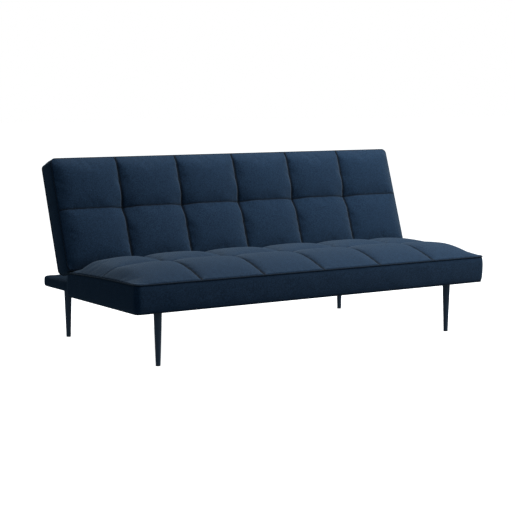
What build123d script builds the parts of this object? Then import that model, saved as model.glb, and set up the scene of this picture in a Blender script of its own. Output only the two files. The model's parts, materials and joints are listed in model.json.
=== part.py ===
from build123d import *
import math
import os

# Futon sofa bed of the click-clack kind, in millimetres: +X to the right, +Y to the rear, +Z up.
# Lengths along Y are laid out from the front face of the seat. Each part is shifted forward by half the depth
# when it is written, so the origin is on the floor at the middle of the footprint.
# The backrest is laid out in its bed position, flat on the rear deck, and then stood up about the hinge axis.

# Overall sizes
WIDTH = 1800
DEPTH = 971
HALF = WIDTH / 2
SEAT_DEPTH = 625
SEAT_UNDER = 228
SEAT_EDGE = 343
SEAT_CROWN = 405
DECK_HALF = 845
DECK_FRONT = 627
DECK_TOP = 278
BACK_LENGTH = 488
BACK_EDGE = 97
BACK_CROWN = 120
RECLINE = 71.2
RELEASE = 4

# Hinge axis, and where the flat backrest lies from it
PIVOT_Y = 636.4
PIVOT_Z = 322
BACK_FOOT = PIVOT_Y + 3.3
BACK_UNDER = PIVOT_Z - 42.9
BACK_HEAD = BACK_FOOT + BACK_LENGTH

# Cloth, boards and timber
COVER = 3
CORNER = 18
BOARD = 18
GAP = 1
DECK_EDGE_PAD = 8
FRAME_UNDER = SEAT_UNDER + COVER
FRAME_TOP = 270
DECK_BOARD = 4
BOARD_TOP = 336
SIDE_BOARD_REAR_TOP = 314
REAR_BOARD_Y = 548
PAD_REAR = 556
PAD = 4
BACK_RAIL_UNDER = BACK_UNDER + COVER
BACK_RAIL_TOP = BACK_UNDER + 64
BACK_SIDE_RAIL = 873
STRAP = 1.5

# Legs
LEG_X = 755
LEG_YS = (91, 909)
LEG_TOP_RADIUS = 17.5
LEG_FOOT_RADIUS = 10.1
LEG_WALL = 1.5
LEG_PLUG = 20
PLATE = 2
PLATE_SIDE = 60
LEG_TOP = FRAME_UNDER - PLATE
GLIDE = 5
GLIDE_PLUG = 10
STUD_RADIUS = 4
STUD_UP = 24
SCREW_RADIUS = 2.2
SCREW_LENGTH = 18
SCREW_REACH = 20
HOLE_FIT = 0.05
RUNNER = 80

# Hinges
SHEET = 4
SEAT_PLATE_X = 874
ARM_X = 869
PIN_RADIUS = 4
RUNNING_FIT = 0.05
SECTOR_RADIUS = 24
PAWL_PIN_RADIUS = 3
PAWL_OUT = 30
PAWL_ALONG = 28
PAWL_LIFT = 10
NOTCHES = (-RELEASE, 0, RECLINE / 2, RECLINE)
BOLT_RADIUS = 3
BOLT_HEAD = 6

# Springs and straps
WIRE_RADIUS = 1.8
SPRING_HALF_WIDTH = 25
SPRING_PITCH = 30
SPRING_ROWS = 17
SPRING_XS = (-720, -500, -280, -90, 90, 280, 500, 720)
STRAP_XS = (-740, -560, -380, -190, 190, 380, 560, 740)


def block(x0, x1, y0, y1, z0, z1):
    """A block between two opposite corners."""
    return Pos((x0 + x1) / 2, (y0 + y1) / 2, (z0 + z1) / 2) * Box(x1 - x0, y1 - y0, z1 - z0)


def post(radius, x, y, z0, z1):
    """An upright cylinder."""
    return Pos(x, y, (z0 + z1) / 2) * Cylinder(radius, z1 - z0)


def rod(radius, x0, x1, y, z):
    """A cylinder along X."""
    return Pos((x0 + x1) / 2, y, z) * Rot(0, 90, 0) * Cylinder(radius, x1 - x0)


def slice_x(sketch, x0, x1):
    """A sketch drawn in Y and Z, made into a plate from x0 to x1."""
    return extrude(Plane.YZ.offset(x0) * sketch, amount=x1 - x0)


def outline(points):
    """A flat face inside a closed line of points."""
    return make_face(Polyline(*points, close=True))


def both_sides(shape):
    """A right-hand piece and its mirror image."""
    return [shape, mirror(shape, about=Plane.YZ)]


def stand_up(shape):
    """Turns a backrest piece from the bed position to the sofa position."""
    return shape.rotate(Axis((0, PIVOT_Y, PIVOT_Z), (1, 0, 0)), RECLINE)


def write(name, *shapes):
    """Writes one node, as one solid or as a group of separate solids."""
    solids = [solid for shape in shapes for solid in (Pos(0, -DEPTH / 2, 0) * shape).solids()]
    export_step(solids[0] if len(solids) == 1 else Compound(solids), f"parts/{name}.step")


def write_back(name, *shapes):
    """Writes one backrest node, stood up in the sofa position."""
    write(name, *[stand_up(shape) for shape in shapes])


def pillow(side, end, y0, y1, z0, z1, inset):
    """A padded form: its side outline and its end outline cut from one upright block with rounded corners."""
    long_run = extrude(Plane.YZ * offset(outline(side), -inset, kind=Kind.INTERSECTION), HALF, both=True)
    cross_run = extrude(Plane.XZ * offset(outline(end), -inset, kind=Kind.INTERSECTION), 2 * DEPTH, both=True)
    plan = RectangleRounded(WIDTH - 2 * inset, y1 - y0 - 2 * inset, CORNER - inset)
    upright = extrude(Pos(0, (y0 + y1) / 2, z0) * plan, z1 - z0)
    return long_run & cross_run & upright


def crown_ends(under, edge, crown):
    """The outline of a padded form across its width."""
    right = [(HALF, under), (HALF, edge), (HALF - 35, edge + 0.6 * (crown - edge)), (HALF - 120, crown)]
    return right + [(-x, z) for x, z in reversed(right)]


def seat_form(inset):
    """The seat as far as `inset` inside its cover's outer face."""
    side = [
        (0, SEAT_UNDER),
        (0, SEAT_EDGE),
        (40, SEAT_EDGE + 32),
        (130, SEAT_CROWN - 4),
        (280, SEAT_CROWN),
        (490, SEAT_CROWN - 2),
        (552, SEAT_CROWN - 17),
        (566, SEAT_EDGE),
        (SEAT_DEPTH, SEAT_EDGE - 23),
        (SEAT_DEPTH, SEAT_UNDER + 8),
        (SEAT_DEPTH - 10, SEAT_UNDER),
    ]
    end = crown_ends(SEAT_UNDER, SEAT_EDGE, SEAT_CROWN)
    return pillow(side, end, 0, SEAT_DEPTH, SEAT_UNDER, SEAT_CROWN + 1, inset)


def back_form(inset):
    """The backrest in bed position, as far as `inset` inside its cover's outer face."""
    edge = BACK_UNDER + BACK_EDGE
    crown = BACK_UNDER + BACK_CROWN
    side = [
        (BACK_FOOT, BACK_UNDER),
        (BACK_FOOT, edge - 5),
        (BACK_FOOT + 22, crown - 6),
        (BACK_FOOT + 67, crown),
        (BACK_HEAD - 61, crown),
        (BACK_HEAD - 16, crown - 6),
        (BACK_HEAD, edge),
        (BACK_HEAD, BACK_UNDER),
    ]
    end = crown_ends(BACK_UNDER, edge, crown)
    return pillow(side, end, BACK_FOOT, BACK_HEAD, BACK_UNDER, crown + 1, inset)


def leg_places():
    """The centre of each leg with the name of its corner."""
    return [
        (f"{row}_{side}", x, y)
        for row, y in zip(("front", "rear"), LEG_YS)
        for side, x in (("left", -LEG_X), ("right", LEG_X))
    ]


def leg_screws(x, y, grow=0):
    """The four screws of one leg plate, or with `grow` the holes for them."""
    offsets = [(i * SCREW_REACH, j * SCREW_REACH) for i in (-1, 1) for j in (-1, 1)]
    top = LEG_TOP + SCREW_LENGTH + grow
    return [post(SCREW_RADIUS + grow, x + i, y + j, LEG_TOP - grow, top) for i, j in offsets]


def leg_stud(x, y, grow=0):
    """The threaded stud that joins one leg to the timber, or with `grow` the hole for it."""
    return post(STUD_RADIUS + grow, x, y, LEG_TOP - LEG_PLUG - grow, LEG_TOP + STUD_UP + grow)


def leg_holes(x, y):
    """The stud hole and the screw holes above one leg."""
    return [leg_stud(x, y, HOLE_FIT), *leg_screws(x, y, HOLE_FIT)]


def leg(x, y):
    """A slim tapered steel tube, closed at the top around its stud."""
    tube = Cone(LEG_FOOT_RADIUS, LEG_TOP_RADIUS, LEG_TOP - GLIDE)
    taper = (LEG_TOP_RADIUS - LEG_FOOT_RADIUS) / (LEG_TOP - GLIDE)
    inner_height = LEG_TOP - GLIDE - LEG_PLUG
    inner_top = LEG_FOOT_RADIUS + taper * inner_height - LEG_WALL
    inner = Cone(LEG_FOOT_RADIUS - LEG_WALL, inner_top, inner_height)
    placed = Pos(x, y, (LEG_TOP + GLIDE) / 2) * tube
    return placed - Pos(x, y, GLIDE + inner_height / 2) * inner - leg_stud(x, y, HOLE_FIT)


def leg_glide(x, y):
    """The plastic foot pushed into the bottom of a leg."""
    disc = fillet(Cylinder(LEG_FOOT_RADIUS, GLIDE).edges().group_by(Axis.Z)[0], 2)
    return Pos(x, y, GLIDE / 2) * disc + post(LEG_FOOT_RADIUS - LEG_WALL - 0.1, x, y, GLIDE, GLIDE + GLIDE_PLUG)


def write_legs():
    """Legs, glides, studs, top plates and screws."""
    places = leg_places()
    for name, x, y in places:
        write(f"leg_{name}", leg(x, y))
    write("leg_glides", *[leg_glide(x, y) for _, x, y in places])
    write("leg_studs", *[leg_stud(x, y) for _, x, y in places])
    plates = []
    for _, x, y in places:
        half = PLATE_SIDE / 2
        plate = block(x - half, x + half, y - half, y + half, LEG_TOP, FRAME_UNDER)
        for hole in leg_holes(x, y):
            plate -= hole
        plates.append(plate)
    write("leg_plates", *plates)
    write("leg_plate_screws", *[screw for _, x, y in places for screw in leg_screws(x, y)])


def write_base():
    """Timber chassis: two runners under the seat, and the frame and board of the rear deck."""
    rear = DEPTH - DECK_EDGE_PAD
    rail = rear - 30
    outer = DECK_HALF - DECK_EDGE_PAD
    inner = LEG_X - RUNNER / 2
    runner = block(inner, LEG_X + RUNNER / 2, COVER + GAP + BOARD, rail, FRAME_UNDER, FRAME_TOP)
    for y in LEG_YS:
        for hole in leg_holes(LEG_X, y):
            runner -= hole
    right, left = both_sides(runner)
    write("base_right_runner", right)
    write("base_left_runner", left)
    write("deck_rear_rail", block(-outer, outer, rail, rear, FRAME_UNDER, FRAME_TOP))
    front = DECK_FRONT + COVER
    write("deck_front_rail", block(-inner, inner, front, front + 20, FRAME_UNDER, FRAME_TOP))
    write("deck_centre_rail", block(-20, 20, front + 20, rail, FRAME_UNDER, FRAME_TOP))
    right, left = both_sides(block(outer - BOARD, outer, front, rail, FRAME_UNDER, FRAME_TOP))
    write("deck_right_rail", right)
    write("deck_left_rail", left)
    write("deck_board", block(-outer, outer, front, rear, FRAME_TOP, FRAME_TOP + DECK_BOARD))
    cloth = block(-DECK_HALF, DECK_HALF, DECK_FRONT, DEPTH, SEAT_UNDER, DECK_TOP)
    cloth = fillet(cloth.edges().filter_by(Axis.Z).group_by(Axis.Y)[-1], 12)
    hollow_half = DECK_HALF - COVER
    cloth -= block(-hollow_half, hollow_half, DECK_FRONT - 1, DEPTH - COVER, SEAT_UNDER - 1, DECK_TOP - COVER)
    write("deck_cover", cloth)
    dust_rear = DEPTH - COVER - 1
    dust = block(-hollow_half + 1, hollow_half - 1, DECK_FRONT + 1, dust_rear, SEAT_UNDER, LEG_TOP)
    for x in (-LEG_X, LEG_X):
        dust -= post(LEG_TOP_RADIUS + 0.5, x, LEG_YS[1], SEAT_UNDER - 1, LEG_TOP + 1)
    write("deck_dust_cover", dust)


def write_seat_box():
    """Upright boards of the seat, with the rear board notched over the runners."""
    edge = COVER + GAP
    side_inner = HALF - edge - BOARD
    rear = SEAT_DEPTH - edge
    front_inner = edge + BOARD
    write("seat_front_board", block(-side_inner, side_inner, edge, front_inner, FRAME_UNDER, BOARD_TOP))
    side = block(side_inner, HALF - edge, edge + CORNER, rear - CORNER, FRAME_UNDER, BOARD_TOP)
    side -= block(side_inner, HALF, REAR_BOARD_Y + BOARD, rear, SIDE_BOARD_REAR_TOP, BOARD_TOP)
    for bolt in hinge_seat_bolts():
        side -= bolt
    right, left = both_sides(side)
    write("seat_right_board", right)
    write("seat_left_board", left)
    board_end = ARM_X - 11
    board_rear = REAR_BOARD_Y + BOARD
    board = block(-board_end, board_end, REAR_BOARD_Y, board_rear, FRAME_UNDER, BOARD_TOP)
    notch_left = LEG_X - RUNNER / 2
    for notch in both_sides(block(notch_left, notch_left + RUNNER, REAR_BOARD_Y, board_rear, FRAME_UNDER, FRAME_TOP)):
        board -= notch
    write("seat_rear_board", board)
    write("seat_centre_board", block(-BOARD / 2, BOARD / 2, front_inner, REAR_BOARD_Y, FRAME_UNDER, BOARD_TOP))


def zigzag_spring(x):
    """One flat wire that snakes from the front board to the rear board."""
    start = COVER + GAP + BOARD + 4
    z = BOARD_TOP - WIRE_RADIUS - 0.4
    points = [(x - SPRING_HALF_WIDTH, start, z)]
    for row in range(SPRING_ROWS):
        side = SPRING_HALF_WIDTH if row % 2 == 0 else -SPRING_HALF_WIDTH
        y = start + SPRING_PITCH * row
        points.append((x + side, y, z))
        points.append((x + side, y + SPRING_PITCH, z))
    points.append((x - side, start + SPRING_PITCH * SPRING_ROWS, z))
    path = FilletPolyline(*points, radius=0.45 * SPRING_PITCH)
    profile = Plane(origin=path @ 0, z_dir=path % 0) * Circle(WIRE_RADIUS)
    return sweep(profile, path=path)


def write_springs():
    """Zigzag springs and the clips that hold each end to its board."""
    springs = [zigzag_spring(x) for x in SPRING_XS]
    write("seat_springs", *springs)
    front = COVER + GAP + BOARD
    back = front + 4 + SPRING_PITCH * SPRING_ROWS
    top = BOARD_TOP - 0.2
    clips = []
    for x, spring in zip(SPRING_XS, springs):
        clips.append(block(x - 9, x + 9, front, front + 8, top - 9, top) - spring)
        clips.append(block(x - 9, x + 9, back - 4, REAR_BOARD_Y, top - 9, top) - spring)
    write("seat_spring_clips", *clips)


def cover_slot():
    """The opening at each end where the hinge leaves the seat cover."""
    return both_sides(block(ARM_X - 8, ARM_X + 16, SEAT_DEPTH - 47, SEAT_DEPTH + 1, PIVOT_Z - 42, SEAT_EDGE))


def write_seat_soft():
    """Felt, foam, cover, piping and dust cover of the seat."""
    inner = seat_form(COVER)
    foam_under = BOARD_TOP + PAD
    felt = block(-HALF + 12, HALF - 12, 8, PAD_REAR, BOARD_TOP, foam_under)
    write("seat_spring_pad", felt & inner)
    foam_block = block(-HALF, HALF, 0, SEAT_DEPTH, foam_under, SEAT_CROWN)
    write("seat_foam", seat_form(COVER + 0.3) & foam_block)
    inner_depth = SEAT_DEPTH - 2 * COVER
    mouth_plan = RectangleRounded(WIDTH - 2 * COVER, inner_depth, CORNER - COVER)
    mouth = extrude(Pos(0, SEAT_DEPTH / 2, SEAT_UNDER - 1) * mouth_plan, 2 * COVER + 8)
    cover = seat_form(0) - inner - mouth
    runner = block(LEG_X - RUNNER / 2, LEG_X + RUNNER / 2, SEAT_DEPTH - 9, SEAT_DEPTH + 1, SEAT_UNDER - 1, FRAME_TOP)
    for opening in cover_slot() + both_sides(runner):
        cover -= opening
    write("seat_cover", cover)
    dust_plan = Pos(0, SEAT_DEPTH / 2) * RectangleRounded(WIDTH - 2 * COVER - 1, inner_depth - 1, CORNER - COVER)
    for x in (-LEG_X, LEG_X):
        dust_plan -= Pos(x, LEG_YS[0]) * Circle(LEG_TOP_RADIUS + 0.5)
    write("seat_dust_cover", extrude(Pos(0, 0, SEAT_UNDER) * dust_plan, LEG_TOP - SEAT_UNDER))


def radial(out, along):
    """A point near the hinge axis: `out` towards the pawl's tooth, `along` the rim towards the pawl's pin."""
    slope = math.sqrt(0.5)
    return PIVOT_Y - slope * (out + along), PIVOT_Z - slope * (out - along)


def tooth(root, tip, root_half, tip_half):
    """The wedge outline of the pawl's tooth or of the notch that takes it."""
    corners = [(root, -root_half), (tip, -tip_half), (tip, tip_half), (root, root_half)]
    return outline([radial(out, along) for out, along in corners])


def hinge_seat_plate():
    """The fixed plate: bolted inside the seat's side board, with the hinge pin at its rear."""
    pawl_y, pawl_z = radial(PAWL_OUT, PAWL_ALONG)
    head = Pos(PIVOT_Y, PIVOT_Z) * Circle(13)
    ear = Pos(pawl_y, pawl_z) * Circle(7.5)
    neck = outline([(490, 262), (490, 318), (pawl_y, pawl_z + 4), (PIVOT_Y, PIVOT_Z + 11), (PIVOT_Y, PIVOT_Z - 13)])
    plate = slice_x(neck + head + ear, SEAT_PLATE_X, SEAT_PLATE_X + SHEET)
    plate -= rod(PIN_RADIUS, SEAT_PLATE_X - 1, SEAT_PLATE_X + SHEET + 1, PIVOT_Y, PIVOT_Z)
    plate -= rod(PAWL_PIN_RADIUS, SEAT_PLATE_X - 1, SEAT_PLATE_X + SHEET + 1, pawl_y, pawl_z)
    for bolt in hinge_seat_bolts():
        plate -= bolt
    return plate


def hinge_seat_bolts():
    """Bolts through the fixed plate into the seat's side board."""
    bolts = []
    for y, z in ((505, 280), (505, 306), (545, 275), (545, 306)):
        shank = rod(BOLT_RADIUS, SEAT_PLATE_X, SEAT_PLATE_X + 18, y, z)
        bolts.append(shank + rod(BOLT_HEAD, SEAT_PLATE_X - 4, SEAT_PLATE_X, y, z))
    return bolts


def hinge_arm():
    """The moving arm in bed position: a notched sector round the pin, bolted inside the backrest's side rail."""
    arm_end = BACK_FOOT + 110
    low = BACK_RAIL_UNDER + 8
    high = BACK_RAIL_TOP - 4
    blade = outline([(PIVOT_Y, PIVOT_Z - 23), (arm_end, low), (arm_end, high), (PIVOT_Y, PIVOT_Z + 10)])
    sketch = blade + Pos(PIVOT_Y, PIVOT_Z) * Circle(SECTOR_RADIUS)
    axis = Axis((PIVOT_Y, PIVOT_Z, 0), (0, 0, 1))
    for angle in NOTCHES:
        sketch -= tooth(SECTOR_RADIUS + 2, 20, 4.6, 2.2).rotate(axis, angle - RECLINE)
    arm = slice_x(sketch, ARM_X, ARM_X + SHEET)
    arm -= rod(PIN_RADIUS + RUNNING_FIT, ARM_X - 1, ARM_X + SHEET + 1, PIVOT_Y, PIVOT_Z)
    for bolt in hinge_back_bolts():
        arm -= bolt
    return arm


def hinge_back_bolts():
    """Bolts through the moving arm into the backrest's side rail."""
    bolts = []
    for y in (BACK_FOOT + 60, BACK_FOOT + 95):
        z = (BACK_RAIL_UNDER + BACK_RAIL_TOP) / 2 + 2
        shank = rod(BOLT_RADIUS, ARM_X, ARM_X + 18, y, z)
        bolts.append(shank + rod(BOLT_HEAD, ARM_X - 4, ARM_X, y, z))
    return bolts


def hinge_pin():
    """The shouldered pin that the backrest turns on, with its outer head."""
    shank = rod(PIN_RADIUS, ARM_X - 6, SEAT_PLATE_X + SHEET, PIVOT_Y, PIVOT_Z)
    return shank + rod(7, SEAT_PLATE_X + SHEET, SEAT_PLATE_X + SHEET + 3, PIVOT_Y, PIVOT_Z)


def hinge_washer():
    """The thin washer between the two plates."""
    ring = rod(8, ARM_X + SHEET + 0.1, SEAT_PLATE_X, PIVOT_Y, PIVOT_Z)
    return ring - hinge_pin()


def hinge_nut():
    """The hexagon nut on the inner end of the pin."""
    hexagon = Pos(PIVOT_Y, PIVOT_Z) * RegularPolygon(7, 6)
    return slice_x(hexagon, ARM_X - 6, ARM_X - 0.3) - hinge_pin()


def pawl():
    """The ratchet pawl, held lifted clear of the sector; it drops by the lift angle into a notch."""
    pin_y, pin_z = radial(PAWL_OUT, PAWL_ALONG)
    bar_corners = [(26.5, -4), (33, -4), (36, PAWL_ALONG), (24.8, PAWL_ALONG)]
    bar = outline([radial(out, along) for out, along in bar_corners])
    sketch = bar + tooth(27, 20.6, 4, 1.6) + Pos(pin_y, pin_z) * Circle(6.5)
    shape = slice_x(sketch, ARM_X, ARM_X + SHEET)
    shape -= rod(PAWL_PIN_RADIUS + RUNNING_FIT, ARM_X - 1, ARM_X + SHEET + 1, pin_y, pin_z)
    return shape.rotate(Axis((0, pin_y, pin_z), (1, 0, 0)), -PAWL_LIFT)


def pawl_pin():
    """The stub pin that carries a pawl, riveted into the fixed plate."""
    pin_y, pin_z = radial(PAWL_OUT, PAWL_ALONG)
    shank = rod(PAWL_PIN_RADIUS, ARM_X - 1, SEAT_PLATE_X + SHEET, pin_y, pin_z)
    return shank + rod(5, ARM_X - 3, ARM_X - 0.3, pin_y, pin_z)


def write_hinges():
    """Both click-clack hinges."""
    for name, shape in (("seat_plate", hinge_seat_plate()), ("pawl", pawl())):
        right, left = both_sides(shape)
        write(f"hinge_right_{name}", right)
        write(f"hinge_left_{name}", left)
    right, left = both_sides(hinge_arm())
    write_back("hinge_right_arm", right)
    write_back("hinge_left_arm", left)
    write("hinge_pins", *both_sides(hinge_pin()))
    write("hinge_washers", *both_sides(hinge_washer()))
    write("hinge_nuts", *both_sides(hinge_nut()))
    write("pawl_pins", *both_sides(pawl_pin()))
    write("hinge_seat_bolts", *[piece for bolt in hinge_seat_bolts() for piece in both_sides(bolt)])
    write_back("hinge_back_bolts", *[piece for bolt in hinge_back_bolts() for piece in both_sides(bolt)])


def write_back_frame():
    """Timber frame of the backrest with its elastic straps."""
    foot = BACK_FOOT + COVER + GAP + 2
    head = BACK_HEAD - COVER - GAP - 2
    side = block(BACK_SIDE_RAIL, BACK_SIDE_RAIL + BOARD, foot, head, BACK_RAIL_UNDER, BACK_RAIL_TOP)
    side -= rod(18, SEAT_PLATE_X - 2, SEAT_PLATE_X + SHEET + 4, PIVOT_Y, PIVOT_Z)
    for bolt in hinge_back_bolts():
        side -= bolt
    right, left = both_sides(side)
    write_back("back_right_rail", right)
    write_back("back_left_rail", left)
    reach = ARM_X - 8
    write_back("back_bottom_rail", block(-reach, reach, foot, foot + BOARD, BACK_RAIL_UNDER, BACK_RAIL_TOP))
    reach = BACK_SIDE_RAIL
    write_back("back_top_rail", block(-reach, reach, head - BOARD, head, BACK_RAIL_UNDER, BACK_RAIL_TOP))
    centre = block(-BOARD, BOARD, foot + BOARD, head - BOARD, BACK_RAIL_UNDER, BACK_RAIL_TOP)
    write_back("back_centre_rail", centre)
    straps = [block(x - 30, x + 30, foot, head, BACK_RAIL_TOP, BACK_RAIL_TOP + STRAP) for x in STRAP_XS]
    write_back("back_straps", *straps)


def back_slots():
    """The openings in the foot of the backrest round the two hinges, in bed position."""
    return both_sides(block(ARM_X - 8, ARM_X + 16, BACK_FOOT - 1, BACK_FOOT + 14, PIVOT_Z - 30, PIVOT_Z + 42))


def write_back_soft():
    """Foam, quilted cover and rear panel of the backrest."""
    foam_under = BACK_RAIL_TOP + STRAP
    foam_block = block(-HALF, HALF, BACK_FOOT, BACK_HEAD, foam_under, BACK_UNDER + BACK_CROWN)
    foam = back_form(COVER + 0.3) & foam_block
    slots = back_slots()
    for slot in slots:
        foam -= slot
    for sweep_room in both_sides(rod(SECTOR_RADIUS + 2, ARM_X - 2, ARM_X + SHEET + 2, PIVOT_Y, PIVOT_Z)):
        foam -= sweep_room
    write_back("back_foam", foam)
    inner_length = BACK_LENGTH - 2 * COVER
    middle = (BACK_FOOT + BACK_HEAD) / 2
    mouth_plan = RectangleRounded(WIDTH - 2 * COVER, inner_length, CORNER - COVER)
    mouth = extrude(Pos(0, middle, BACK_UNDER - 1) * mouth_plan, COVER + 9)
    cover = back_form(0) - back_form(COVER) - mouth
    for slot in slots:
        cover -= slot
    write_back("back_cover", cover)
    panel_plan = RectangleRounded(WIDTH - 2 * COVER - 1, inner_length - 1, CORNER - COVER)
    write_back("back_rear_panel", extrude(Pos(0, middle, BACK_UNDER) * panel_plan, COVER - 0.5))


os.makedirs("parts", exist_ok=True)
write_legs()
write_base()
write_seat_box()
write_springs()
write_seat_soft()
write_hinges()
write_back_frame()
write_back_soft()
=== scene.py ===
import json
import math

import bpy
from mathutils import Matrix, Vector, noise


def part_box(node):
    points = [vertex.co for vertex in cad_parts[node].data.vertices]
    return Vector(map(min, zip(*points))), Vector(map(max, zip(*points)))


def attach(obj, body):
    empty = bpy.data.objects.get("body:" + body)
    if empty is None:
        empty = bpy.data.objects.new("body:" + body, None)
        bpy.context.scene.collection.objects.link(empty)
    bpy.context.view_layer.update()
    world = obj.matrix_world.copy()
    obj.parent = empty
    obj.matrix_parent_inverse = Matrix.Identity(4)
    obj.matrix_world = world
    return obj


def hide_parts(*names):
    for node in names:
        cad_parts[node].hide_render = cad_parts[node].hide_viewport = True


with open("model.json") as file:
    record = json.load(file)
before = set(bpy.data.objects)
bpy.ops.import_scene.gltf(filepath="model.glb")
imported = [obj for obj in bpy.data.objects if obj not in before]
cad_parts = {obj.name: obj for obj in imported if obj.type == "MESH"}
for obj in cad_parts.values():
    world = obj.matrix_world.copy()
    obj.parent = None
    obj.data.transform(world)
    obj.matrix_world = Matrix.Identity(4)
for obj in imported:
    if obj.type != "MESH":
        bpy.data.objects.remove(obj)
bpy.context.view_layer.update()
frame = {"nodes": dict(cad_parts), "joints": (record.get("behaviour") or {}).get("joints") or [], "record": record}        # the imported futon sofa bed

# Fixed sizes of the upholstery, in metres.
BOXING_HEIGHT = 0.115
FOOT_BEHIND_HINGE = 0.0033
UNDER_HINGE = 0.0429
BACK_WIDER = 0.008
SEAT_FALL_START = 0.50
SEAT_CREASE = 0.585
SEAT_SEAM_END = 0.575
REAR_DROOP = 0.0155
REAR_TUCK = 0.006
FELT_CLEAR = 0.0035

# Sizes read from the frame, in metres. The seat's front face is at -Y, the floor is z = 0.
SEAT_LOW, SEAT_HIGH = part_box("seat_cover")
DECK_LOW, DECK_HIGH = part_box("deck_cover")
FELT_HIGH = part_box("seat_spring_pad")[1]
HALF = SEAT_HIGH.x
FRONT = SEAT_LOW.y
REAR = SEAT_HIGH.y
SEAT_DEPTH = REAR - FRONT
UNDER = SEAT_LOW.z
EDGE = UNDER + BOXING_HEIGHT
RECLINE = next(j for j in frame["joints"] if j["name"] == "backrest_recline")
PIVOT = Vector(RECLINE["pos_m"])
LIE_FLAT = math.radians(max(RECLINE["range_deg"]))

# The backrest is laid out flat, from its foot by the hinge to its head, then stood up about the hinge.
BACK_FOOT = PIVOT.y + FOOT_BEHIND_HINGE
BACK_UNDER = PIVOT.z - UNDER_HINGE
BACK_LENGTH = 0.491
BACK_EDGE = 0.097
BACK_HALF = HALF + BACK_WIDER
STAND_UP = (
    Matrix.Translation(PIVOT) @ Matrix.Rotation(LIE_FLAT, 4, "X") @ Matrix.Translation(-PIVOT)
)

COLUMNS = 6
SEAT_SEAM_Y = FRONT + 0.290
BACK_SEAM_V = 0.262
SEAM_XS = [HALF * (2 * i / COLUMNS - 1) for i in range(1, COLUMNS)]
SEAM_CLEAR = (0.003, 0.008, 0.015)
STEP = 0.012
PIPING_RADIUS = 0.0029
REAR_SEAM_RADIUS = 0.0022
COLUMN_CORD = 0.0026
ROW_CORD = 0.0017
CORNER = 0.022
CLOTH_FRAMES = 20


# ---------------------------------------------------------------- small helpers


def smooth(low, high, value):
    """0 below low, 1 above high, and a soft ramp between."""
    t = min(1.0, max(0.0, (value - low) / (high - low)))
    return t * t * (3 - 2 * t)


def quarter(distance, reach):
    """A quarter sine that rises from an edge and levels off at reach."""
    return math.sin(math.pi / 2 * min(1.0, max(0.0, distance) / reach))


def grid_lines(low, high, seams):
    """Even lines between two limits, with closer ones beside every seam."""
    near = [low, high]
    for seam in seams:
        near += [seam] + [seam + side * gap for gap in SEAM_CLEAR for side in (-1, 1)]
    for edge, side in ((low, 1), (high, -1)):
        near += [edge + side * gap for gap in (0.004, 0.010, 0.018)]
    near.sort()
    lines = [near[0]]
    for line in near[1:]:
        count = max(1, round((line - lines[-1]) / STEP))
        start = lines[-1]
        lines += [start + (line - start) * k / count for k in range(1, count + 1)]
    return lines


def round_corner(x, y, half, low, high, radius):
    """Moves a point of a rectangular grid so that the rectangle's corners are round."""
    dx = abs(x) - (half - radius)
    dy = (low + radius) - y if y < (low + high) / 2 else y - (high - radius)
    if dx <= 0 or dy <= 0:
        return x, y
    scale = max(dx, dy) / math.hypot(dx, dy)
    new_x = math.copysign(half - radius + dx * scale, x)
    new_y = low + radius - dy * scale if y < (low + high) / 2 else high - radius + dy * scale
    return new_x, new_y


def new_object(name, verts, faces, smooth_faces=True):
    mesh = bpy.data.meshes.new(name)
    mesh.from_pydata([tuple(v) for v in verts], [], faces)
    mesh.polygons.foreach_set("use_smooth", [smooth_faces] * len(mesh.polygons))
    mesh.update()
    piece = bpy.data.objects.new(name, mesh)
    bpy.context.scene.collection.objects.link(piece)
    return piece


def finish_piece(piece, material, slot, body, *nodes):
    """Gives a piece its material, ties it to its body and hides the CAD nodes it stands for. The slot
    argument is not used.
    """
    piece.data.materials.append(material)
    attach(piece, body)
    if nodes:
        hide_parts(*nodes)
    return piece


def apply_subdivision(piece, levels=1):
    modifier = piece.modifiers.new("subdivide", "SUBSURF")
    modifier.levels = levels
    modifier.render_levels = levels
    modifier.boundary_smooth = "PRESERVE_CORNERS"
    graph = bpy.context.evaluated_depsgraph_get()
    baked = bpy.data.meshes.new_from_object(piece.evaluated_get(graph))
    piece.modifiers.remove(modifier)
    old = piece.data
    piece.data = baked
    baked.name = piece.name
    bpy.data.meshes.remove(old)


def closed_sheet_faces(nx, ny):
    """The upper, lower and side faces between two grids of nx by ny points, upper grid first."""
    count = nx * ny
    upper = [
        (j * nx + i, j * nx + i + 1, (j + 1) * nx + i + 1, (j + 1) * nx + i)
        for j in range(ny - 1)
        for i in range(nx - 1)
    ]
    lower = [tuple(count + index for index in reversed(face)) for face in upper]
    ring = list(range(nx))
    ring += [j * nx + nx - 1 for j in range(1, ny)]
    ring += [(ny - 1) * nx + i for i in range(nx - 2, -1, -1)]
    ring += [j * nx for j in range(ny - 2, 0, -1)]
    after = ring[1:] + ring[:1]
    sides = [(b, a, count + a, count + b) for a, b in zip(ring, after)]
    return upper, lower, sides


def wrinkle(x, y, z, scale, seed):
    return noise.noise(Vector((x * scale + seed, y * scale - seed, z * scale)))


# ---------------------------------------------------------------- quilted pads


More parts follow.
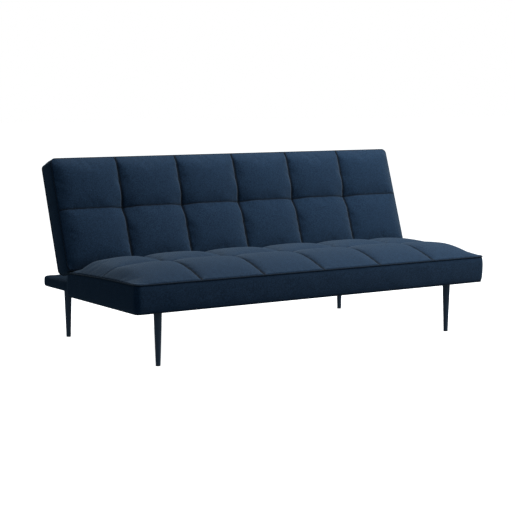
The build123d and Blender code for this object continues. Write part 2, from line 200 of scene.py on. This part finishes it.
def puff_with_cloth(verts, faces, pinned, cap, pressure, slack):
    """Blows a quilted sheet up between its sewn lines and returns its new points."""
    sheet = new_object("cloth_trial", verts, faces)
    group = sheet.vertex_groups.new(name="sewn")
    for index, weight in enumerate(pinned):
        if weight > 0:
            group.add([index], weight, "REPLACE")
    modifier = sheet.modifiers.new("cloth", "CLOTH")
    cloth = modifier.settings
    cloth.quality = 6
    cloth.mass = 0.25
    cloth.tension_stiffness = 12
    cloth.compression_stiffness = 12
    cloth.shear_stiffness = 4
    cloth.bending_stiffness = 0.35
    cloth.use_pressure = True
    cloth.uniform_pressure_force = pressure
    cloth.vertex_group_mass = "sewn"
    cloth.shrink_min = -slack
    cloth.effector_weights.gravity = 0
    modifier.point_cache.frame_start = 1
    modifier.point_cache.frame_end = CLOTH_FRAMES
    scene = bpy.context.scene
    for step in range(1, CLOTH_FRAMES + 1):
        scene.frame_set(step)
    graph = bpy.context.evaluated_depsgraph_get()
    evaluated = sheet.evaluated_get(graph)
    moved = [v.co.copy() for v in evaluated.data.vertices]
    result = []
    for start, end in zip(verts, moved):
        shift = end - Vector(start)
        if shift.length > cap:
            shift *= cap / shift.length
        result.append(Vector(start) + shift)
    old = sheet.data
    bpy.data.objects.remove(sheet)
    bpy.data.meshes.remove(old)
    scene.frame_set(1)
    return result


def quilted_pad(name, half, ys, seams_x, seam_y, height, floor, cap, pressure, slack, row_hold, place=None):
    """A closed pad: a quilted top sheet, puffed up between its seams, over a plain underside.

    The column seams are held fast, and the row seam as firmly as row_hold says.
    """
    xs = grid_lines(-half, half, seams_x)
    low, high = ys[0], ys[-1]
    nx, ny = len(xs), len(ys)
    top, pinned, seam_shade_mask = [], [], []
    for y in ys:
        for x in xs:
            px, py = round_corner(x, y, half, low, high, CORNER)
            top.append(Vector((px, py, height(x, y))))
            near_x = min(abs(x - s) for s in seams_x)
            near_y = abs(y - seam_y)
            on_edge = x in (xs[0], xs[-1]) or y in (ys[0], ys[-1])
            held = near_x < 1e-6 or (near_y < 1e-6 and near_x < 0.03)
            pinned.append(1.0 if on_edge or held else (row_hold if near_y < 1e-6 else 0.0))
            # Painted shade mask: 1 on a sewn line and fading out within a few millimetres, for darkening the
            # cloth in the seam grooves.
            strength = max(1 - max(0.0, near_x - 0.0022) / 0.0045, 0.85 * (1 - near_y / 0.0045), 0.0)
            seam_shade_mask.append(min(1.0, strength))
    faces, under, sides = closed_sheet_faces(nx, ny)
    top = puff_with_cloth(top, faces, pinned, cap, pressure, slack)
    bottom = []
    for j, y in enumerate(ys):
        for i, x in enumerate(xs):
            px, py = round_corner(x, y, half - 0.004, low + 0.004, high - 0.004, CORNER - 0.004)
            edge_x = min(max(px, -half + 0.004), half - 0.004)
            bottom.append(Vector((edge_x, min(max(py, low + 0.004), high - 0.004), floor(x, y))))
    verts = top + bottom
    if place is not None:
        verts = [place @ v for v in verts]
    pad = new_object(name, verts, faces + under + sides)
    # The seam attribute carries this painted shade mask to the fabric shader.
    mark = pad.data.attributes.new("seam", "FLOAT", "POINT")
    mark.data.foreach_set("value", seam_shade_mask + [0.0] * len(bottom))
    apply_subdivision(pad)
    return pad


def cell_puff(position, lines, power):
    """0 on a sewn line and 1 in the middle of the cell between two lines."""
    for a, b in zip(lines, lines[1:]):
        if a <= position <= b:
            t = (position - a) / (b - a)
            return 1 - abs(2 * t - 1) ** power
    return 0.0


def groove(distance, depth, width):
    return depth * math.exp(-((distance / width) ** 2))


def seat_edge_height(y):
    """The seat's piping line: level, then drooping a little towards the rear."""
    along = max(0.0, (y - FRONT - 0.15) / (SEAT_DEPTH - 0.15))
    return EDGE - REAR_DROOP * along ** 1.6 - REAR_TUCK * smooth(REAR - 0.045, REAR, y)


def seat_height(x, y):
    """The seat's quilted top at rest, held clear of the felt that lies under its rear corners."""
    front = y - FRONT
    edge = seat_edge_height(y)
    ends = 0.6 * quarter(HALF - abs(x), 0.08) + 0.4 * quarter(HALF - abs(x), 0.34)
    run = quarter(front, 0.21) * (1 - smooth(SEAT_FALL_START, SEAT_CREASE, front))
    base = edge + 0.006 + 0.050 * run * ends
    puff_x = cell_puff(x, [-HALF] + SEAM_XS + [HALF], 3.2)
    puff_y = cell_puff(y, [FRONT, SEAT_SEAM_Y, FRONT + SEAT_CREASE], 3.0)
    base += 0.010 * puff_x * puff_y * min(1.0, 0.12 + run * ends)
    near_x = min(abs(x - s) for s in SEAM_XS)
    near_y = abs(y - SEAT_SEAM_Y)
    base -= groove(near_x, 0.0065, 0.0060) * min(1.0, front / 0.012) + groove(near_y, 0.0030, 0.005) * ends
    base -= 0.010 * math.exp(-((near_x / 0.035) ** 2) - (near_y / 0.035) ** 2)
    beyond = max(abs(x) - FELT_HIGH.x, y - FELT_HIGH.y)
    lift = max(0.0, FELT_HIGH.z + FELT_CLEAR - base)
    return base + lift * (1 - smooth(0.004, 0.014, beyond))


def back_height(x, v):
    """The backrest's quilted front above its rear plane, with v measured up from its foot."""
    ends = quarter(BACK_HALF - abs(x), 0.035)
    run = quarter(v, 0.05) * quarter(BACK_LENGTH - v, 0.045)
    base = BACK_EDGE + 0.003 + 0.013 * run * ends
    puff_x = cell_puff(x, [-BACK_HALF] + SEAM_XS + [BACK_HALF], 2.6)
    puff_v = 0.35 + 0.65 * cell_puff(v, [0, BACK_SEAM_V, BACK_LENGTH], 2.2)
    base += 0.019 * puff_x * puff_v * min(1.0, 0.3 + run * ends) * run
    near_x = min(abs(x - s) for s in SEAM_XS)
    near_v = abs(v - BACK_SEAM_V)
    base -= groove(near_x, 0.0070, 0.0060) * run + groove(near_v, 0.0035, 0.005) * ends
    base -= 0.017 * math.exp(-((near_x / 0.045) ** 2) - (near_v / 0.038) ** 2)
    return base


# ---------------------------------------------------------------- bands and piping


def rounded_loop(half, low, high, radius, inset, spacing=0.012):
    """Points with their outward directions round a rectangle with round corners, from the front left."""
    points = []
    corners = (
        (-half + radius, low + radius, math.pi),
        (half - radius, low + radius, 1.5 * math.pi),
        (half - radius, high - radius, 0.0),
        (-half + radius, high - radius, 0.5 * math.pi),
    )
    arcs = []
    for cx, cy, start in corners:
        arcs.append([(cx, cy, start + math.pi / 2 * k / 6) for k in range(7)])
    for index, arc in enumerate(arcs):
        for cx, cy, angle in arc:
            points.append((cx, cy, angle))
        cx, cy, angle = arc[-1]
        nx, ny, _ = arcs[(index + 1) % 4][0]
        length = math.hypot(nx - cx, ny - cy)
        count = max(1, int(length / spacing))
        for k in range(1, count):
            points.append((cx + (nx - cx) * k / count, cy + (ny - cy) * k / count, angle))
    loop = []
    for cx, cy, angle in points:
        out = Vector((math.cos(angle), math.sin(angle), 0))
        loop.append((Vector((cx, cy, 0)) + out * (radius - inset), out))
    return loop


def band(name, half, low, high, radius, levels, place=None, ripple=0.0, seed=0.0):
    """A closed band of cloth round a padded box, rippled but calm at its seams.

    levels gives (inset, height at a point) going round its section.
    """
    verts, faces = [], []
    loops = [rounded_loop(half, low, high, radius, inset) for inset, _ in levels]
    count = len(loops[0])
    for level, (inset, height) in enumerate(levels):
        for point, out in loops[level]:
            z = height(point)
            heights = [other(point) for _, other in levels]
            up = (z - min(heights)) / (max(heights) - min(heights))
            calm = min(1.0, 5 * up * (1 - up))
            bump = ripple * wrinkle(point.x, point.y, z * 1.6, 9, seed)
            bump += 0.5 * ripple * wrinkle(point.x, point.y, z * 1.3, 23, seed + 5)
            verts.append(Vector((point.x, point.y, z)) + out * bump * calm)
    total = len(levels)
    for level in range(total):
        above = (level + 1) % total
        for k in range(count):
            after = (k + 1) % count
            faces.append((level * count + k, level * count + after, above * count + after, above * count + k))
    if place is not None:
        verts = [place @ v for v in verts]
    piece = new_object(name, verts, faces)
    apply_subdivision(piece)
    return piece


def cord(points, radius, closed, sides=8):
    """The points and faces of one round cord of cloth."""
    verts, faces = [], []
    count = len(points)
    for k, point in enumerate(points):
        before = points[(k - 1) % count] if closed or k else points[0]
        after = points[(k + 1) % count] if closed or k < count - 1 else points[-1]
        along = (after - before).normalized()
        side = along.cross(Vector((0, 0, 1))).normalized()
        up = side.cross(along)
        for s in range(sides):
            angle = 2 * math.pi * s / sides
            verts.append(point + radius * (math.cos(angle) * side + math.sin(angle) * up))
    rings = count if closed else count - 1
    for k in range(rings):
        for s in range(sides):
            a = k * sides + s
            b = k * sides + (s + 1) % sides
            c = ((k + 1) % count) * sides + (s + 1) % sides
            d = ((k + 1) % count) * sides + s
            faces.append((a, d, c, b))
    if not closed:
        faces.append(tuple(range(sides)))
        faces.append(tuple((count - 1) * sides + s for s in reversed(range(sides))))
    return verts, faces


def cords(name, lines, closed=True, place=None):
    """Several cords made into one piece. lines gives (points, radius)."""
    verts, faces = [], []
    for points, radius in lines:
        more_verts, more_faces = cord(points, radius, closed)
        faces += [tuple(len(verts) + index for index in face) for face in more_faces]
        verts += more_verts
    if place is not None:
        verts = [place @ v for v in verts]
    return new_object(name, verts, faces)


def seam_cords(name, half, low, high, seam_y, height, body, place=None):
    """The stitched cords down every column seam and, finer, along the row seam; their near-black colour is
    partly thread and partly painted shade in the seam grooves.
    """
    def run(start, end, at):
        count = max(2, round((end - start) / 0.006))
        return [at(start + (end - start) * k / count) for k in range(count + 1)]

    lines = []
    for x in SEAM_XS:
        lines.append((run(low + 0.004, high - 0.004, lambda y: Vector((x, y, height(x, y)))), COLUMN_CORD))
    row = run(0.004 - half, half - 0.004, lambda x: Vector((x, seam_y, height(x, seam_y))))
    lines.append((row, ROW_CORD))
    finish_piece(cords(name, lines, False, place), SEAM_THREAD_AND_SHADE, "navy_fabric", body)


# ---------------------------------------------------------------- materials


def shader(name):
    material = bpy.data.materials.new(name)
    material.use_nodes = True
    nodes = material.node_tree.nodes
    principled = nodes["Principled BSDF"]
    return material, nodes, material.node_tree.links, principled


def fabric(name, dark, light, seam_shade_strength=0.0, weave=0.0021, bump=0.35):
    """Woven upholstery: heathered yarns, a plain weave in relief, slow shading, a soft sheen and, when asked
    for, painted shade that darkens the sewn grooves.
    """
    material, nodes, links, principled = shader(name)
    place = nodes.new("ShaderNodeTexCoord").outputs["Object"]
    heather = nodes.new("ShaderNodeTexNoise")
    heather.inputs["Scale"].default_value = 230
    heather.inputs["Detail"].default_value = 4
    heather.inputs["Roughness"].default_value = 0.75
    links.new(place, heather.inputs["Vector"])
    slow = nodes.new("ShaderNodeTexNoise")
    slow.inputs["Scale"].default_value = 9
    slow.inputs["Detail"].default_value = 2
    links.new(place, slow.inputs["Vector"])
    ramp = nodes.new("ShaderNodeValToRGB")
    ramp.color_ramp.elements[0].position = 0.40
    ramp.color_ramp.elements[0].color = (*dark, 1)
    ramp.color_ramp.elements[1].position = 0.62
    ramp.color_ramp.elements[1].color = (*light, 1)
    links.new(heather.outputs["Fac"], ramp.inputs["Fac"])
    tint = nodes.new("ShaderNodeMixRGB")
    tint.blend_type = "MULTIPLY"
    tint.inputs["Fac"].default_value = 0.35
    links.new(ramp.outputs["Color"], tint.inputs["Color1"])
    slow_ramp = nodes.new("ShaderNodeValToRGB")
    slow_ramp.color_ramp.elements[0].color = (0.72, 0.74, 0.78, 1)
    slow_ramp.color_ramp.elements[1].color = (1.15, 1.13, 1.1, 1)
    links.new(slow.outputs["Fac"], slow_ramp.inputs["Fac"])
    links.new(slow_ramp.outputs["Color"], tint.inputs["Color2"])
    colour = tint.outputs["Color"]
    # Painted shade: the seam mask darkens the colour in the sewn grooves, towards 0.18 of the dark yarn tone.
    if seam_shade_strength:
        seam = nodes.new("ShaderNodeAttribute")
        seam.attribute_name = "seam"
        fade = nodes.new("ShaderNodeMath")
        fade.operation = "MULTIPLY"
        fade.inputs[1].default_value = seam_shade_strength
        links.new(seam.outputs["Fac"], fade.inputs[0])
        shade = nodes.new("ShaderNodeMixRGB")
        shade.inputs["Color2"].default_value = (*[0.18 * c for c in dark], 1)
        links.new(fade.outputs[0], shade.inputs["Fac"])
        links.new(colour, shade.inputs["Color1"])
        colour = shade.outputs["Color"]
    links.new(colour, principled.inputs["Base Color"])
    waves = []
    for axis in ("X", "Y", "Z"):
        wave = nodes.new("ShaderNodeTexWave")
        wave.bands_direction = axis
        wave.inputs["Scale"].default_value = 0.314 / weave
        wave.inputs["Distortion"].default_value = 0.6
        wave.inputs["Detail"].default_value = 1
        links.new(place, wave.inputs["Vector"])
        waves.append(wave.outputs["Fac"])
    total = waves[0]
    for other in waves[1:]:
        add = nodes.new("ShaderNodeMath")
        add.operation = "ADD"
        links.new(total, add.inputs[0])
        links.new(other, add.inputs[1])
        total = add.outputs[0]
    mixed = nodes.new("ShaderNodeMath")
    mixed.operation = "MULTIPLY_ADD"
    mixed.inputs[1].default_value = 0.35
    links.new(total, mixed.inputs[0])
    links.new(heather.outputs["Fac"], mixed.inputs[2])
    relief = nodes.new("ShaderNodeBump")
    relief.inputs["Strength"].default_value = bump
    relief.inputs["Distance"].default_value = 0.0008
    links.new(mixed.outputs[0], relief.inputs["Height"])
    links.new(relief.outputs["Normal"], principled.inputs["Normal"])
    principled.inputs["Roughness"].default_value = 0.92
    principled.inputs["Specular IOR Level"].default_value = 0.06
    principled.inputs["Sheen Weight"].default_value = 0.085
    principled.inputs["Sheen Roughness"].default_value = 0.45
    principled.inputs["Sheen Tint"].default_value = (0.72, 0.88, 1.0, 1)
    return material


def hard_surface(name, dark, light, metallic, rough_low, rough_high, scale, stretch=(1, 1, 1), bump=0.05):
    """Paint, steel, plastic or timber: two close tones, uneven gloss and a fine relief."""
    material, nodes, links, principled = shader(name)
    place = nodes.new("ShaderNodeTexCoord")
    mapping = nodes.new("ShaderNodeMapping")
    mapping.inputs["Scale"].default_value = stretch
    links.new(place.outputs["Object"], mapping.inputs["Vector"])
    grain = nodes.new("ShaderNodeTexNoise")
    grain.inputs["Scale"].default_value = scale
    grain.inputs["Detail"].default_value = 4
    links.new(mapping.outputs["Vector"], grain.inputs["Vector"])
    ramp = nodes.new("ShaderNodeValToRGB")
    ramp.color_ramp.elements[0].position = 0.35
    ramp.color_ramp.elements[0].color = (*dark, 1)
    ramp.color_ramp.elements[1].position = 0.7
    ramp.color_ramp.elements[1].color = (*light, 1)
    links.new(grain.outputs["Fac"], ramp.inputs["Fac"])
    links.new(ramp.outputs["Color"], principled.inputs["Base Color"])
    gloss = nodes.new("ShaderNodeMapRange")
    gloss.inputs["To Min"].default_value = rough_low
    gloss.inputs["To Max"].default_value = rough_high
    links.new(grain.outputs["Fac"], gloss.inputs["Value"])
    links.new(gloss.outputs["Result"], principled.inputs["Roughness"])
    relief = nodes.new("ShaderNodeBump")
    relief.inputs["Strength"].default_value = bump
    relief.inputs["Distance"].default_value = 0.0006
    links.new(grain.outputs["Fac"], relief.inputs["Height"])
    links.new(relief.outputs["Normal"], principled.inputs["Normal"])
    principled.inputs["Metallic"].default_value = metallic
    return material


# The pads' cover cloth, with painted shade in its seam grooves; the plain copy below has none.
NAVY = fabric("navy_weave", (0.0022, 0.0082, 0.0190), (0.0078, 0.0210, 0.0430), seam_shade_strength=0.85)
NAVY_PLAIN = fabric("navy_weave_plain", (0.0022, 0.0082, 0.0190), (0.0078, 0.0210, 0.0430))
PIPING = fabric("navy_piping", (0.0012, 0.0038, 0.0088), (0.0034, 0.0085, 0.0175), weave=0.0016)
# Seam cord cloth: near black, partly the thread's own colour and partly painted shade in the seam grooves.
SEAM_THREAD_AND_SHADE = fabric("navy_seam_thread_and_shade", (0.0004, 0.0010, 0.0022), (0.0010, 0.0022, 0.0045), weave=0.0016)
DUST = fabric("dust_cloth", (0.010, 0.010, 0.012), (0.022, 0.022, 0.025), weave=0.0015, bump=0.15)
CAD_MATERIALS = {
    "navy_fabric": NAVY_PLAIN,
    "deck_fabric": NAVY_PLAIN,
    "dust_cloth": DUST,
    "foam": hard_surface("foam_cream", (0.62, 0.55, 0.36), (0.75, 0.68, 0.48), 0, 0.9, 1, 300, bump=0.4),
    "felt": fabric("grey_felt", (0.15, 0.15, 0.14), (0.28, 0.27, 0.26), weave=0.003),
    "strap": fabric("black_strap", (0.01, 0.01, 0.01), (0.03, 0.03, 0.03), weave=0.0018),
    "timber": hard_surface(
        "pine", (0.40, 0.24, 0.11), (0.58, 0.40, 0.22), 0, 0.55, 0.8, 14, stretch=(0.4, 3, 3), bump=0.2
    ),
    "hardboard": hard_surface("hardboard", (0.16, 0.09, 0.045), (0.24, 0.14, 0.08), 0, 0.6, 0.9, 160),
    "leg_paint": hard_surface("navy_paint", (0.006, 0.016, 0.034), (0.009, 0.022, 0.044), 0.0, 0.35, 0.5, 60),
    "zinc_steel": hard_surface("zinc_steel", (0.45, 0.46, 0.47), (0.62, 0.62, 0.61), 1, 0.25, 0.5, 90),
    "black_steel": hard_surface(
        "black_steel", (0.012, 0.012, 0.013), (0.03, 0.03, 0.032), 0.6, 0.35, 0.6, 90
    ),
    "black_plastic": hard_surface(
        "black_plastic", (0.008, 0.009, 0.01), (0.016, 0.017, 0.02), 0, 0.4, 0.6, 120
    ),
}


def paint_cad_nodes():
    """Every CAD node takes the finish of its record slot."""
    slots = {row["node"]: row["material_slot"] for row in frame["record"]["subparts"]}
    for name, node in frame["nodes"].items():
        material = CAD_MATERIALS[slots[name]]
        if not node.data.materials:
            node.data.materials.append(material)
        for place in node.material_slots:
            place.material = material


# ---------------------------------------------------------------- the soft pieces


def make_seat():
    ys = grid_lines(FRONT, REAR, [SEAT_SEAM_Y])
    pad = quilted_pad(
        "seat_quilted_top", HALF, ys, SEAM_XS, SEAT_SEAM_Y, seat_height,
        lambda x, y: seat_edge_height(y) - 0.012, cap=0.010, pressure=2.4, slack=0.006, row_hold=0.9,
    )
    finish_piece(pad, NAVY, "navy_fabric", "seat_base", "seat_foam")

    def drop(fraction):
        return lambda p: UNDER + (seat_edge_height(p.y) - UNDER) * fraction

    levels = [
        (0.0015, drop(1.0)), (-0.0010, drop(0.96)), (-0.0035, drop(0.8)), (-0.0045, drop(0.6)),
        (-0.0045, drop(0.4)), (-0.003, drop(0.2)), (0.0, drop(0.07)), (0.004, drop(0.015)),
        (0.010, drop(-0.012)), (0.024, drop(-0.016)), (0.024, drop(0.01)), (0.008, drop(0.06)),
        (0.005, drop(0.5)), (0.006, drop(0.97)),
    ]
    boxing = band("seat_boxing", HALF, FRONT, REAR, CORNER, levels[::-1], ripple=0.0022, seed=3)
    finish_piece(boxing, NAVY_PLAIN, "navy_fabric", "seat_base", "seat_cover")
    loop = rounded_loop(HALF, FRONT, REAR, CORNER, 0.0)
    line = [Vector((p.x, p.y, seat_edge_height(p.y) + 0.001)) for p, _ in loop]
    finish_piece(cords("seat_piping", [(line, PIPING_RADIUS)]), PIPING, "navy_fabric", "seat_base")
    seam_cords("seat_seams", HALF, FRONT, FRONT + SEAT_SEAM_END, SEAT_SEAM_Y, seat_height, "seat_base")


def make_backrest():
    vs = [BACK_FOOT + v for v in grid_lines(0, BACK_LENGTH, [BACK_SEAM_V])]
    pad = quilted_pad(
        "backrest_quilted_front", BACK_HALF, vs, SEAM_XS, BACK_FOOT + BACK_SEAM_V,
        lambda x, y: BACK_UNDER + back_height(x, y - BACK_FOOT),
        lambda x, y: BACK_UNDER + BACK_EDGE - 0.012, cap=0.012, pressure=2.6, slack=0.006, row_hold=0.6,
        place=STAND_UP,
    )
    finish_piece(pad, NAVY, "navy_fabric", "backrest", "back_foam")
    head = BACK_FOOT + BACK_LENGTH

    def at(w):
        return lambda p: BACK_UNDER + w

    levels = [
        (0.0015, at(BACK_EDGE)), (-0.001, at(0.093)), (-0.003, at(0.078)), (-0.004, at(0.055)),
        (-0.003, at(0.030)), (-0.001, at(0.010)), (0.001, at(0.003)), (0.006, at(0.0)),
        (0.020, at(0.0)), (0.020, at(0.006)), (0.006, at(0.012)), (0.005, at(0.05)), (0.006, at(0.092)),
    ]
    boxing = band(
        "backrest_boxing", BACK_HALF, BACK_FOOT, head, CORNER, levels[::-1], STAND_UP, ripple=0.002, seed=11
    )
    finish_piece(boxing, NAVY_PLAIN, "navy_fabric", "backrest", "back_cover")
    edge_cords = (
        ("backrest_front_piping", BACK_EDGE, PIPING_RADIUS),
        ("backrest_rear_seam", REAR_SEAM_RADIUS, REAR_SEAM_RADIUS),
    )
    for name, w, radius in edge_cords:
        loop = rounded_loop(BACK_HALF, BACK_FOOT, head, CORNER, 0.0005)
        line = [Vector((p.x, p.y, BACK_UNDER + w)) for p, _ in loop]
        finish_piece(cords(name, [(line, radius)], place=STAND_UP), PIPING, "navy_fabric", "backrest")
    seam_cords(
        "backrest_seams", BACK_HALF, BACK_FOOT, head, BACK_FOOT + BACK_SEAM_V,
        lambda x, y: BACK_UNDER + back_height(x, y - BACK_FOOT), "backrest", STAND_UP,
    )
    make_rear_panel(head)


def sheet_slab(name, half, low, high, corner, top, bottom, place=None):
    """A closed slab of cloth with its own upper and lower surface."""
    xs = grid_lines(-half, half, [])
    ys = grid_lines(low, high, [])
    nx, ny = len(xs), len(ys)
    verts = []
    for surface in (top, bottom):
        for y in ys:
            for x in xs:
                px, py = round_corner(x, y, half, low, high, corner)
                verts.append(Vector((px, py, surface(x, y))))
    upper, lower, sides = closed_sheet_faces(nx, ny)
    if place is not None:
        verts = [place @ v for v in verts]
    slab = new_object(name, verts, upper + lower + sides)
    apply_subdivision(slab)
    return slab


def make_rear_panel(head):
    inset = 0.008

    def outer(x, y):
        swell = quarter(BACK_HALF - abs(x), 0.05) * quarter(min(y - BACK_FOOT, head - y), 0.05)
        return BACK_UNDER + 0.0006 - 0.0014 * swell + 0.0012 * swell * wrinkle(x, y, 0, 7, 21)

    panel = sheet_slab(
        "backrest_rear_panel", BACK_HALF - inset, BACK_FOOT + inset, head - inset, CORNER - inset,
        lambda x, y: BACK_UNDER + 0.0027, outer, STAND_UP,
    )
    finish_piece(panel, NAVY_PLAIN, "navy_fabric", "backrest", "back_rear_panel")


def make_deck():
    half = DECK_HIGH.x
    low, high = DECK_LOW.y, DECK_HIGH.y

    def away(x, y):
        return min(half - abs(x), high - y)

    def top(x, y):
        edge = away(x, y)
        gather = 0.0016 * wrinkle(x * 2.2, y * 0.7, 0, 26, 31) * math.exp(-(edge / 0.05) ** 2)
        return DECK_HIGH.z - 0.0105 * (1 - quarter(edge, 0.011)) - 0.0004 + gather * quarter(edge, 0.01)

    def under(x, y):
        edge = away(x, y)
        return DECK_LOW.z + 0.0085 * (1 - quarter(edge, 0.010))

    deck = sheet_slab("deck_upholstery", half, low, high, 0.010, top, under)
    finish_piece(deck, NAVY_PLAIN, "deck_fabric", "seat_base", "deck_cover", "deck_dust_cover")


# ---------------------------------------------------------------- studio


def make_floor():
    """A white floor that is clear when it is seen from below."""
    mesh = bpy.data.meshes.new("studio_floor")
    reach = 40
    mesh.from_pydata(
        [(-reach, -reach, 0), (reach, -reach, 0), (reach, reach, 0), (-reach, reach, 0)], [], [(0, 1, 2, 3)]
    )
    floor = bpy.data.objects.new("studio_floor", mesh)
    bpy.context.scene.collection.objects.link(floor)
    material, nodes, links, principled = shader("floor_white")
    principled.inputs["Base Color"].default_value = (0.4, 0.4, 0.4, 1)
    principled.inputs["Roughness"].default_value = 0.9
    principled.inputs["Emission Color"].default_value = (1, 1, 1, 1)
    principled.inputs["Emission Strength"].default_value = 1.0
    clear = nodes.new("ShaderNodeBsdfTransparent")
    facing = nodes.new("ShaderNodeNewGeometry")
    one_sided = nodes.new("ShaderNodeMixShader")
    links.new(facing.outputs["Backfacing"], one_sided.inputs["Fac"])
    links.new(principled.outputs["BSDF"], one_sided.inputs[1])
    links.new(clear.outputs["BSDF"], one_sided.inputs[2])
    links.new(one_sided.outputs["Shader"], nodes["Material Output"].inputs["Surface"])
    mesh.materials.append(material)
    floor.visible_diffuse = False
    floor.visible_glossy = False


def area_light(name, place, target, size, power):
    data = bpy.data.lights.new(name, "AREA")
    data.shape = "RECTANGLE"
    data.size, data.size_y = size
    data.energy = power
    lamp = bpy.data.objects.new(name, data)
    lamp.location = place
    lamp.rotation_euler = (Vector(target) - Vector(place)).to_track_quat("-Z", "Y").to_euler()
    bpy.context.scene.collection.objects.link(lamp)


def make_studio():
    make_floor()
    area_light("key", (2.2, -1.4, 2.3), (0.4, 0.1, 0.5), (1.5, 1.5), 140)
    area_light("top", (0.3, -0.1, 3.0), (0.1, -0.1, 0.4), (3.0, 1.6), 135)
    area_light("front", (1.6, -4.2, 1.4), (0, 0, 0.4), (2.5, 1.6), 26)
    world = bpy.data.worlds.new("studio")
    bpy.context.scene.world = world
    world.use_nodes = True
    nodes, links = world.node_tree.nodes, world.node_tree.links
    background = nodes["Background"]
    background.inputs["Color"].default_value = (0.62, 0.84, 1.0, 1)
    background.inputs["Strength"].default_value = 0.3
    backdrop = nodes.new("ShaderNodeBackground")
    backdrop.inputs["Color"].default_value = (1, 1, 1, 1)
    backdrop.inputs["Strength"].default_value = 1.0
    path = nodes.new("ShaderNodeLightPath")
    mix = nodes.new("ShaderNodeMixShader")
    links.new(path.outputs["Is Camera Ray"], mix.inputs["Fac"])
    links.new(background.outputs["Background"], mix.inputs[1])
    links.new(backdrop.outputs["Background"], mix.inputs[2])
    links.new(mix.outputs["Shader"], nodes["World Output"].inputs["Surface"])
    bpy.context.scene.view_settings.view_transform = "Standard"


# The camera's lens in millimetres, place in metres and directions in degrees.
CAMERA_LENS = 98.7
CAMERA_X = -3.483
CAMERA_AHEAD = 4.782
CAMERA_Z = 1.0921
CAMERA_DOWN = 6.70
CAMERA_TURN = -33.33


def make_camera():
    data = bpy.data.cameras.new("camera")
    data.sensor_width = 36
    data.lens = CAMERA_LENS
    camera = bpy.data.objects.new("camera", data)
    camera.location = (CAMERA_X, FRONT - CAMERA_AHEAD, CAMERA_Z)
    camera.rotation_euler = (math.radians(90 - CAMERA_DOWN), 0, math.radians(CAMERA_TURN))
    bpy.context.scene.collection.objects.link(camera)
    bpy.context.scene.camera = camera


make_camera()
make_studio()
paint_cad_nodes()
make_seat()
make_backrest()
make_deck()
